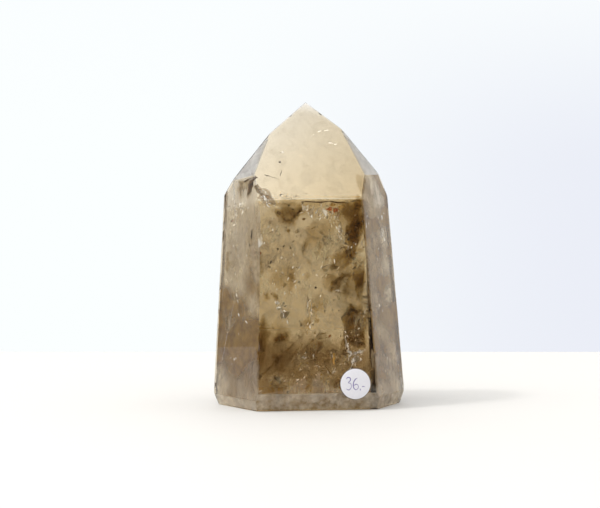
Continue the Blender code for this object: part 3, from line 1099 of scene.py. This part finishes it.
RIGHT_BROWN_SPRAYS = (
    (27, 84, 1.5, 4, 2, 75, 18, 1.8, 0.3), (29, 58, 2, 8, 2, 80, 24, 2, 0.4),
    (31, 30, 2, 7, 2.5, 85, 20, 2, 0.4),
)

dark_sliver = film("brown sliver", (0.2, 0.1, 0.03), (0.5, 0.34, 0.15), rough=0.45, grain=6.0, draw_out=0.5,
                   cover=0.4, soft=0.2, fray=0.25, fade_from=0.4, most=0.7)
sheet_piece("brown_slivers", [
    sprays("front", FRONT_BROWN_SPRAYS, 61), sprays("left", LEFT_BROWN_SPRAYS, 62),
    sprays("right", RIGHT_BROWN_SPRAYS, 63),
    sprays_inside(16, 6, 64, *SPRAY_BOX, size=(1.2, 4.0), spread=2.2),
], dark_sliver, 28, rings=4, turns=12, bend=0.3, inside=whole_inside)

# %% Pale slivers
FRONT_PALE = (
    (-2.3, 87, 1.5, 1.6, 0.9, 65, 12, 2.2, 0.5), (1, 85.5, 1.5, 1.8, 1, 100, 14, 2.2, 0.6),
    (5, 85, 1.5, 2, 1.5, 80, 16, 2.4, 0.6), (9, 83, 2, 2.5, 1.5, 110, 14, 2.2, 0.5),
    (12.8, 79, 1.5, 5, 0.7, 98, 24, 2.6, 0.6), (-18.4, 90.3, 1.2, 3.4, 1.8, -55, 26, 1.5, 0.8),
    (18.5, 69.5, 1.5, 4, 1.6, 75, 8, 1.2, 0.7), (-0.3, 44.6, 2.5, 5, 1, 89, 22, 2.6, 0.3),
    (-6, 58, 2, 4, 2, 75, 14, 2, 0.5), (12.2, 51.4, 1, 0.8, 0.5, 20, 6, 1.6, 1),
    (-14, 46.5, 1, 0.9, 0.5, 80, 6, 1.8, 1), (-12, 42, 1.2, 3, 0.6, -62, 10, 2, 0.6),
    (15.7, 28.8, 1, 1.8, 0.4, 100, 14, 1.8, 0.9), (17.7, 24.8, 1, 1.5, 0.5, -30, 14, 1.8, 0.9),
    (21.5, 25, 1, 1.8, 0.5, 22, 14, 2, 0.9), (19, 21.5, 1.5, 2.4, 1.6, 75, 20, 2, 0.7),
    (10, 22, 1.5, 4, 1, 85, 12, 1.8, 0.4), (-2.7, 23.2, 1, 0.5, 0.4, 80, 5, 1.4, 1),
    (1.6, 23.2, 1, 0.5, 0.4, 85, 5, 1.4, 1), (-4, 15, 1.5, 9, 2.5, 20, 40, 1.6, 0.4),
    (21.5, 36, 1.5, 5, 1.5, 60, 12, 2, 0.5), (-18, 76, 2, 5, 2, 80, 16, 2, 0.5),
    (7, 62, 3, 6, 3, 70, 20, 2.2, 0.4), (-14, 60, 3, 6, 3, 80, 16, 2, 0.5),
)
LEFT_PALE = (
    (-31.5, 87, 1, 2.4, 1.1, 65, 30, 1.5, 0.9), (-33, 70, 1.5, 8, 2, 85, 24, 2, 0.6),
    (-29, 40, 1.5, 5, 2.5, -35, 26, 2.6, 0.7), (-34, 20, 1.5, 5, 2, 80, 20, 1.6, 0.5),
)
RIGHT_PALE = (
    (25, 84, 1.2, 3, 1.5, 70, 16, 1.6, 0.7), (32.3, 73, 1.2, 7, 1, 86, 30, 3, 0.9),
    (31, 46, 1.5, 6, 1.5, 75, 24, 2.4, 0.8), (33, 25, 1.5, 6, 1.5, 85, 16, 1.6, 0.6),
)
WINDOW_STREAKS = (
    (1.6, 119.6, 0.8, 1.8, 0.35, 45, 1), (4.4, 121, 0.8, 2, 0.4, 15, 1), (7.2, 121.5, 0.8, 1.6, 0.3, 2, 1),
    (9.4, 115.8, 0.8, 2, 0.5, -14, 1), (11.2, 115.2, 0.8, 1, 0.35, -20, 1), (-12, 111.5, 0.8, 1.6, 0.5, 5, 1),
)

pale_sliver = film("pale sliver", (0.75, 0.62, 0.42), (0.97, 0.94, 0.87), rough=0.3, metallic=1.0, grain=6.0,
                   draw_out=0.5, cover=0.3, soft=0.12, fray=0.2, fade_from=0.4, most=0.95, relief=0.15)
sheet_piece("pale_slivers", [
    sprays("front", FRONT_PALE, 71, tilt=0.12, turned=throws_light("front", KEY_LIGHT)),
    sprays("left", LEFT_PALE, 72, tilt=0.12, turned=throws_light("left", KEY_LIGHT)),
    sprays("right", RIGHT_PALE, 73, tilt=0.15, turned=throws_light("right", HIGH_RIGHT)),
    laid_under("tip", WINDOW_STREAKS, 0.02, 74, throws_light("tip", KEY_LIGHT)),
    sprays_inside(30, 8, 75, *SPRAY_BOX, size=(1.2, 4.0), spread=2.2),
], pale_sliver, 29, rings=4, turns=12, bend=0.03, wave=0.03, inside=whole_inside)

# %% [markdown]
# ## Milky side faces
#
# From outside, the side faces look milky and hide most of what is behind them: fine healed cracks lie close
# under the whole of each. Frosting the polished skin would take its shine away, so a milky skin lies a little
# deeper instead. It never fades out fully, and it is palest where the stone is. At the foot its extra
# paleness is painted light from the white table.

# %% Milky skins


def constant(value):
    """A curve that has one value at every height."""
    return (0, value), (150, value)


def skins(kind, material, rows, **skin):
    """A skin piece for each row, which gives its face, tones, wear and seed."""
    for face, tones, wear, seed in rows:
        name = kind + "_" + face.replace(" ", "_")
        skin_piece(name, material, face, tones=tones, wear=wear, seed=seed, **skin)


# Near the foot the tone is paler: painted light from the white table. Higher up it is the skin's own tone.
LEFT_TONES_FOOT_LIT = (6, 1.0), (14, 0.8), (22, 0.5), (38, 0.5), (50, 0.9), (85, 1.0), (100, 1.0)  # height in mm, tone
RIGHT_TONES_FOOT_LIT = (6, 0.8), (20, 0.45), (40, 0.3), (60, 0.4), (80, 0.2), (95, 0.05)
EVEN = constant(0)

milk_and_foot_light = film("milky skin", (0.22, 0.125, 0.045), (0.74, 0.64, 0.5), rough=0.6, grain=2.6, fine=4.5,
            draw_out=0.5, cover=0.3, soft=0.4, fray=0.0, least=0.3, most=0.72, relief=0.3)
skins("milk_and_foot_light", milk_and_foot_light, (
    ("left", LEFT_TONES_FOOT_LIT, EVEN, 81), ("right", RIGHT_TONES_FOOT_LIT, EVEN, 82),
    ("back left", LEFT_TONES_FOOT_LIT, EVEN, 85), ("back right", RIGHT_TONES_FOOT_LIT, EVEN, 86),
), depth=1.3, swell=0.3)

# %% [markdown]
# Iron has run down the side faces too. A brown skin lies over the milky one, worn away in patches and in bands
# of height. Near the foot it is taken away fully, which paints in the lighter band that the white table's light
# gives there. The two must not cross: the brown one lies less deep and hardly swells.

# %% Brown skins
# Below about 10 mm the brown skin is left out fully, painting in the paler band that the table's light gives
# the foot; higher up the wear is the skin's own patches and bands.
LOWER_WEAR_FOOT_LIT = (0, 1), (9, 1), (20, 0.45), (36, 0.45), (60, 1), (150, 1)  # height in mm, wear
SIDE_WEAR_FOOT_LIT = (0, 1), (10, 1), (24, 0.66), (45, 0.68), (60, 0.74), (90, 0.7), (150, 0.7)

brown_skin = film("brown skin", (0.22, 0.1, 0.005), (0.42, 0.235, 0.03), rough=0.6, grain=2.2, fine=4.5,
                  draw_out=0.6, cover=0.32, soft=0.4, fray=0.1, fade_from=0.4, least=0.8, most=0.92,
                  relief=0.3)
middling = constant(0.5)
skins("brown", brown_skin, (
    ("left", middling, LOWER_WEAR_FOOT_LIT, 101), ("right", middling, SIDE_WEAR_FOOT_LIT, 102),
    ("back left", middling, SIDE_WEAR_FOOT_LIT, 103), ("back right", middling, LOWER_WEAR_FOOT_LIT, 104),
), depth=0.9, patchy=0.14, swell=0.1)

# %% [markdown]
# The bevels at the foot catch light from the white table and show as pale bands. They get pale skins of
# their own, which paint that light in, and a sheet of the same kind rounds off the lower left corner of the
# front tip face.

# %% Pale bevels and corner
# Painted light: the pale colour stands in for the table's light on the bevels; the corner sheet shares it.
bevel_light_and_pale_skin = film("bevel light and pale skin", (0.38, 0.25, 0.1), (1.0, 0.9, 0.74), rough=0.6, grain=2.6, fine=4.5,
                  cover=0.3, soft=0.4, fray=0.0, least=0.5, most=0.75, relief=0.2)
skins("milk_and_foot_light", bevel_light_and_pale_skin, (
    ("left bevel", constant(0.9), EVEN, 88), ("right bevel", constant(0.5), EVEN, 89),
    ("front bevel", ((0, 0.4), (9, 0.7)), EVEN, 90),
), depth=0.6)
CORNER_MILK = ((-21.2, 93.4, 0.9, 7.0, 3.4, -45, 0.25),)
corner = laid_under("front", CORNER_MILK, 0.02, 78)
sheet_piece("corner_milk", [corner], bevel_light_and_pale_skin, 79, wave=0.1, rings=12, turns=48, inside=whole_inside)

# %% [markdown]
# ## Haze in front and within
#
# The front face is the clearest of the sides, but it isn't quite clear: there is a fine haze just under it,
# and clouds further in. They are skins too, laid at growing depths and worn into patches, so that they slide
# over one another when the stone turns.

# %% Front haze and inner clouds
FRONT_TONES = (0, 0.6), (8, 0.5), (16, 0.3), (30, 0.25), (45, 0.6), (80, 0.6), (90, 0.3)
FRONT_WEAR = (0, 0.4), (18, 0.45), (30, 0.78), (90, 0.82)
INNER_TONES = (0, 0.4), (20, 0.2), (35, 0.4), (60, 0.9), (90, 0.4)
INNER_WEAR = constant(0.75)

haze = film("front haze", (0.5, 0.3, 0.08), (0.95, 0.82, 0.5), rough=0.6, grain=5.0, draw_out=0.5, cover=0.36,
            soft=0.3, fray=0.28, least=0.02, most=0.5)
cloud = film("inner cloud", (0.54, 0.3, 0.07), (0.95, 0.82, 0.48), rough=0.6, grain=1.5, fine=4.0,
             draw_out=0.4, cover=0.38, soft=0.34, fray=0.16, most=0.29)
inner = {"face": "front", "tones": INNER_TONES, "wear": INNER_WEAR, "patchy": 0.3}
skin_piece("haze_front", haze, "front", 1.0, FRONT_TONES, FRONT_WEAR, 87, 0.2)
skin_piece("cloud_near", cloud, depth=5.0, seed=91, swell=1.6, **inner)
skin_piece("cloud_far", cloud, depth=16.0, seed=93, swell=3.0, **inner)

# %% [markdown]
# The front tip face is a window into the pale tip. A very thin, broad haze behind it keeps the view from
# being dead even.

# %% Window haze
window_haze = film("window haze", (0.8, 0.66, 0.42), (1.0, 0.98, 0.9), rough=0.6, grain=1.6, fine=4.0,
                   cover=0.4, soft=0.3, fray=0.0, most=0.2, relief=0.2)
skins("haze", window_haze, (("tip", middling, EVEN, 97),), depth=2.0)

# %% [markdown]
# ## Veils at the edges
#
# Two long edges have a narrow band of old cracks along them. A long, thin, nearly flat sheet is enough for
# each.

# %% Edge veils
EDGE_VEIL = ((26.9, 22, 0.8, 20, 2.0, 92.5, 0.3),)
FAR_EDGE_VEIL = ((-38.2, 55, 0.8, 40, 1.3, 84.2, 1.0),)

edge_veil = film("edge veil", (0.5, 0.35, 0.18), (0.8, 0.64, 0.4), rough=0.6, grain=5.0, cover=0.3, soft=0.3,
                 fray=0.0, fade_from=0.7, least=0.4, most=0.85)
sheet_piece("edge_veil", [
    laid_under("front", EDGE_VEIL, 0.01, 94), laid_under("left", FAR_EDGE_VEIL, 0.01, 98),
], edge_veil, 95, wave=0.01, rag=0.05, rings=14, turns=60, inside=whole_inside)

# %% [markdown]
# ## Painted glare under the tip's side faces
#
# The tip faces on both sides are nearly white from the sky's glare on them. A rough metallic skin, pale and
# almost unbroken, lies under each and throws light back: a painted reflection that stands in for that glare.

# %% Painted glare
# A pale mirror skin in place of the sky's glare on the tip faces: painted reflection.
tip_glare = film("painted tip glare", (0.93, 0.93, 0.93), (1.0, 1.0, 1.0), rough=0.45, metallic=1.0, grain=2.0, fine=3.0,
             cover=0.3, soft=0.4, fray=0.0, least=0.6, most=0.85, relief=0.1)
skins("tip_glare", tip_glare, (
    ("tip left", middling, EVEN, 83), ("tip right", constant(0.4), EVEN, 84),
), depth=0.9, swell=0.0)

# %% [markdown]
# ## The price sticker
#
# A paper disc lies along the front face, just clear of it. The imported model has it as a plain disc, so its
# middle, its size and the way it looks are measured there, and everything on it is laid out in its own plane.

# %% Measure the sticker
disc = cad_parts[STICKER]
disc_normals = ground_planes(disc)[0]
paper_out = disc_normals[(disc_normals @ plane_normals[face_number("front")]).argmax()]
disc_points = np.array([disc.matrix_world @ vertex.co for vertex in disc.data.vertices])
paper_middle = disc_points.mean(0) / MM
paper_right = unit(np.cross(UP, paper_out))
paper_up = np.cross(paper_out, paper_right)
from_middle = disc_points / MM - paper_middle
outwardness = from_middle @ paper_out
half_thick = outwardness.max()
paper_radius = np.linalg.norm(from_middle - outwardness[:, None] * paper_out, axis=1).max()
print("sticker: radius", round(paper_radius, 2), "thickness", round(2 * half_thick, 2))
print("its middle is at", np.round(paper_middle, 1))

# %% Places on the paper


def on_paper(across, up, out):
    """Points in the stone's frame from places on the paper: c + across e1 + up e2 + out n."""
    place = paper_middle + across[..., None] * paper_right + up[..., None] * paper_up
    return place + out[..., None] * paper_out


def turned_disc(profile, turns=96):
    """A closed body of revolution: P(s, a) = on the paper at (rho(s) cos a, rho(s) sin a), out by h(s)."""
    rho, out = np.array(profile).T
    a = np.linspace(0, 2 * math.pi, turns, endpoint=False)
    points = on_paper(rho[:, None] * np.cos(a), rho[:, None] * np.sin(a), out[:, None] + 0 * a)
    return points.reshape(-1, 3), grid_faces(len(rho), turns)


def mottled(name, middle, dark, pale, rough, scale, detail=3.0):
    """A matt material in which fine noise, at a scale for each metre, mixes a dark colour and a pale one."""
    material, tree, shader = plain_material(name, middle, rough)
    where = put(tree, "ShaderNodeTexCoord").outputs["Object"]
    noise = put(tree, "ShaderNodeTexNoise", {"Vector": where, "Scale": scale, "Detail": detail})
    tree.links.new(mixed(tree, noise.outputs["Fac"], dark, pale), shader.inputs["Base Color"])
    return material


# %% [markdown]
# The paper is turned like a coin, from half of its outline, so that its edge comes out softly rounded. A
# faint noise stands for the fibres.

# %% Paper
PAPER_RIM = 0.06  # rounding at the paper's edge, mm

paper = mottled("price paper", (0.74, 0.74, 0.8), (0.7, 0.7, 0.77), (0.8, 0.8, 0.85), 0.6, 900.0, 4.0)
radius, thick, rim = paper_radius, half_thick, PAPER_RIM
under_side = (0, -thick), (radius - rim, -thick), (radius - rim / 4, -thick + rim / 4), (radius, -thick + rim)
top_side = (
    (radius, thick - rim), (radius - rim / 4, thick - rim / 4), (radius - rim, thick),
    (radius / 2, thick), (0, thick),
)
sticker = new_piece("price_paper", *turned_disc(under_side + top_side), paper, slot="sticker_paper")
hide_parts(STICKER)
print("paper:", closed_and_outward(sticker))

# %% [markdown]
# A thin dark line runs round the sticker: the shadow under the paper's edge. It is painted in as a dark flat
# ring beneath the paper's edge, turned in the same way.

# %% Painted shadow round the sticker
SHADOW_IN, SHADOW_OUT = 0.5, 0.22  # how far the ring reaches in from the paper's edge, and out from it, mm
SHADOW_TOP, SHADOW_BOTTOM = 0.02, 0.22  # its top and bottom below the paper's underside
SHADOW_SLOPE = 0.1  # the height of its outer side, and how far in from the paper's edge its top starts

# Painted shade: this dark ring stands for the shadow under the sticker's edge.
painted_shadow = mottled("painted sticker shadow", (0.09, 0.06, 0.04), (0.04, 0.03, 0.02), (0.16, 0.12, 0.08), 0.7, 500.0)
low, high = -thick - SHADOW_BOTTOM, -thick - SHADOW_TOP
inner_wall, outer_wall = radius - SHADOW_IN, radius + SHADOW_OUT
shadow_ring_piece = new_piece("sticker_shadow_ring", *turned_disc((
    (inner_wall, low), (outer_wall, low), (outer_wall, low + SHADOW_SLOPE),
    (radius - SHADOW_SLOPE, high), (inner_wall, high), (inner_wall, low),
)), painted_shadow, slot="sticker_paper")
print("gum:", closed_and_outward(shadow_ring_piece))

# %% [markdown]
# The price is written in violet pen. An image would need a file and a place to keep it, so each pen stroke is
# a ribbon swept along a smooth curve through a few points of handwriting, a hair above the paper.

# %% Pen strokes
PEN_HALF_WIDTH = 0.2  # mm
INK_LIFT = 0.015
DIGITS = (  # pen strokes, as points in mm across and up from the sticker's middle
    ((-4.0, 2.0), (-3.4, 2.8), (-2.4, 2.6), (-2.2, 1.6), (-3.1, 0.6), (-2.1, 0.2), (-1.8, -1.2), (-2.8, -2.5),
     (-4.1, -2.0)),
    ((1.0, 2.6), (-0.2, 1.8), (-0.9, 0.2), (-0.8, -1.6), (0.2, -2.5), (1.2, -1.7), (1.1, -0.6), (0.2, -0.1),
     (-0.8, -0.9)),
    ((2.0, -2.1), (2.15, -2.5), (2.1, -2.8)),
    ((2.9, -1.2), (3.5, -1.1), (4.0, -1.25)),
)


def pen_stroke(points, steps=14):
    """A flat ribbon: P(t, w) = C(t) + w e(t), where C is the Catmull-Rom curve through the points.

    Between two points C(t) = ((2 b) + (c - a) t + (2 a - 5 b + 4 c - d) t^2 + (3 b - 3 c + d - a) t^3) / 2.
    The ribbon's width wavers a little and thins at both ends, and its face looks off the paper.
    """
    ends = np.array((points[0], *points, points[-1]), float)
    a, b, c, d = (ends[k:len(ends) - 3 + k, None] for k in range(4))
    t = np.linspace(0, 1, steps, endpoint=False)[None, :, None]
    curve = (2 * b + (c - a) * t + (2 * a - 5 * b + 4 * c - d) * t**2 + (3 * b - 3 * c + d - a) * t**3) / 2
    curve = np.concatenate((curve.reshape(-1, 2), ends[-1:]))
    run = unit(np.gradient(curve, axis=0))
    along = np.linspace(0, 1, len(curve))[:, None]
    taper = np.clip(np.minimum(along, 1 - along) * 12, 0.35, 1)
    width = PEN_HALF_WIDTH * (0.75 + 0.25 * np.sin(7 * along)) * taper
    sideways = width * np.stack((-run[:, 1], run[:, 0]), 1)
    flat = np.stack((curve + sideways, curve - sideways), 1)
    i = np.arange(len(curve) - 1) * 2
    height = np.full(flat.shape[:2], half_thick + INK_LIFT)
    return on_paper(flat[..., 0], flat[..., 1], height).reshape(-1, 3), np.stack((i, i + 1, i + 3, i + 2), 1)


ink = mottled("violet ink", (0.1, 0.07, 0.3), (0.05, 0.03, 0.2), (0.2, 0.15, 0.45), 0.5, 1300.0)
for index, digit in enumerate(DIGITS):
    name = "pen_stroke_%d" % (index + 1)
    stroke = new_piece(name, *pen_stroke(digit), ink, slot="sticker_paper", weld_within=FINE_WELD)
    print(name, len(stroke.data.polygons), "faces")

# %% [markdown]
# ## Table and key light
#
# The stone stands on a white table whose far edge is a little way behind it. The table is stage, not part of
# the model. The key light is a small disc high on the left that throws the shadow. It lights only what it
# meets first: inside the stone so small a lamp would make sparkling noise, so a bright patch of the room does
# its work there.

# %% Table
TABLE_SIDE, TABLE_FRONT_EDGE, TABLE_BACK_EDGE = 1.5, -1.6, 0.258  # metres from the stone

table_material = plain_material("white table", (0.79, 0.79, 0.79), 0.7)[0]
table_mesh = bpy.data.meshes.new("table")
table_mesh.from_pydata([
    (-TABLE_SIDE, TABLE_FRONT_EDGE, 0), (TABLE_SIDE, TABLE_FRONT_EDGE, 0),
    (TABLE_SIDE, TABLE_BACK_EDGE, 0), (-TABLE_SIDE, TABLE_BACK_EDGE, 0),
], [], [(0, 1, 2, 3)])
table_mesh.materials.append(table_material)
table = bpy.data.objects.new("table", table_mesh)
bpy.context.scene.collection.objects.link(table)
print("the table's far edge is", TABLE_BACK_EDGE, "m behind the stone's middle")

# %% Key light
KEY_DISTANCE, KEY_SIZE = 1.6, 0.2  # metres
KEY_AIM_HEIGHT = 0.05
KEY_POWER = 6.0  # watts

to_key = Vector(KEY_LIGHT).normalized()
key_data = bpy.data.lights.new("key light", "AREA")
key_data.shape = "DISK"
key_data.size = KEY_SIZE
key_data.energy = KEY_POWER
key_data.color = (1.0, 0.97, 0.92)
key = bpy.data.objects.new("key light", key_data)
key.location = to_key * KEY_DISTANCE + Vector((0, 0, KEY_AIM_HEIGHT))
key.rotation_euler = (-to_key).to_track_quat("-Z", "Y").to_euler()
key.visible_transmission = False
key.visible_glossy = False
bpy.context.scene.collection.objects.link(key)
print("the key light stands", round(math.degrees(math.asin(to_key.z))), "degrees high")

# %% [markdown]
# ## Room
#
# Glass shows the room around it, so the room matters as much as the lamp. It is painted with nodes in the
# world: a soft white all round, darker patches behind the camera and at the back on the left, and a bright
# one where the key light is. The camera itself sees a pale backdrop instead, cooler on the right.

# %% Room
ROOM_COLOUR = (1.0, 0.985, 0.955)
ROOM_PATCHES = (  # the way to a patch, the cosines at its rim and where it is full, and its colour
    ((0.27, -0.95, 0.13), 0.92, 0.975, (0.1, 0.095, 0.09)),
    ((-0.937, 0.343, 0.052), 0.95, 0.985, (0.6, 0.58, 0.54)),
    (KEY_LIGHT, 0.9, 0.99, (3.2, 3.1, 2.9)),
)

world = bpy.data.worlds.new("room")
world.use_nodes = True
room = world.node_tree
look = put(room, "ShaderNodeTexCoord").outputs["Generated"]
axes = put(room, "ShaderNodeSeparateXYZ", {0: look})


def ramp(value, start, end):
    """A smooth 0 to 1 as the value goes from start to end."""
    ends = {"Value": value, "From Min": start, "From Max": end}
    return put(room, "ShaderNodeMapRange", ends, interpolation_type="SMOOTHSTEP").outputs[0]


def towards(direction):
    """The cosine of the angle between the look and a direction."""
    aim = tuple(Vector(direction).normalized())
    return put(room, "ShaderNodeVectorMath", {0: look, 1: aim}, operation="DOT_PRODUCT").outputs["Value"]


wall = mixed(room, ramp(axes.outputs["X"], -0.1, 0.22), (0.965, 1.0, 1.0), (0.83, 0.855, 0.93))
wall = mixed(room, ramp(axes.outputs["Z"], 0.03, 0.2), wall, (0.96, 0.99, 1.0))
around = ROOM_COLOUR
for direction, patch_rim, patch_full, colour in ROOM_PATCHES:
    around = mixed(room, ramp(towards(direction), patch_rim, patch_full), around, colour)
seen_first = put(room, "ShaderNodeLightPath").outputs["Is Camera Ray"]
room.links.new(mixed(room, seen_first, around, wall), room.nodes["Background"].inputs["Color"])
bpy.context.scene.world = world
print("the room has", len(ROOM_PATCHES), "patches")

# %% [markdown]
# ## Camera and light paths
#
# The camera is a long lens at table height, looking slightly down, which keeps the stone's sides nearly
# straight. Light goes in and out of many faces, and through many films, before it gets to the camera, so the
# limits on bounces are high. Films that are partly clear count against a limit of their own.

# %% Camera and light paths
CAMERA_PLACE = (-4.36, -629.67, 79.58)  # mm
CAMERA_TILT = 1.17  # degrees down from level
FOCAL_LENGTH, SENSOR_WIDTH = 85.0, 36.0  # mm

camera_data = bpy.data.cameras.new("camera")
camera_data.lens = FOCAL_LENGTH
camera_data.sensor_width = SENSOR_WIDTH
camera = bpy.data.objects.new("camera", camera_data)
camera.location = [place * MM for place in CAMERA_PLACE]
camera.rotation_euler = (math.radians(90 - CAMERA_TILT), 0, 0)
bpy.context.scene.collection.objects.link(camera)
bpy.context.scene.camera = camera

scene = bpy.context.scene
scene.view_settings.view_transform = "Standard"
scene.cycles.max_bounces = 32
scene.cycles.glossy_bounces = 24
scene.cycles.transmission_bounces = 24
scene.cycles.transparent_max_bounces = 96
print("bounces:", scene.cycles.max_bounces, "and through films:", scene.cycles.transparent_max_bounces)
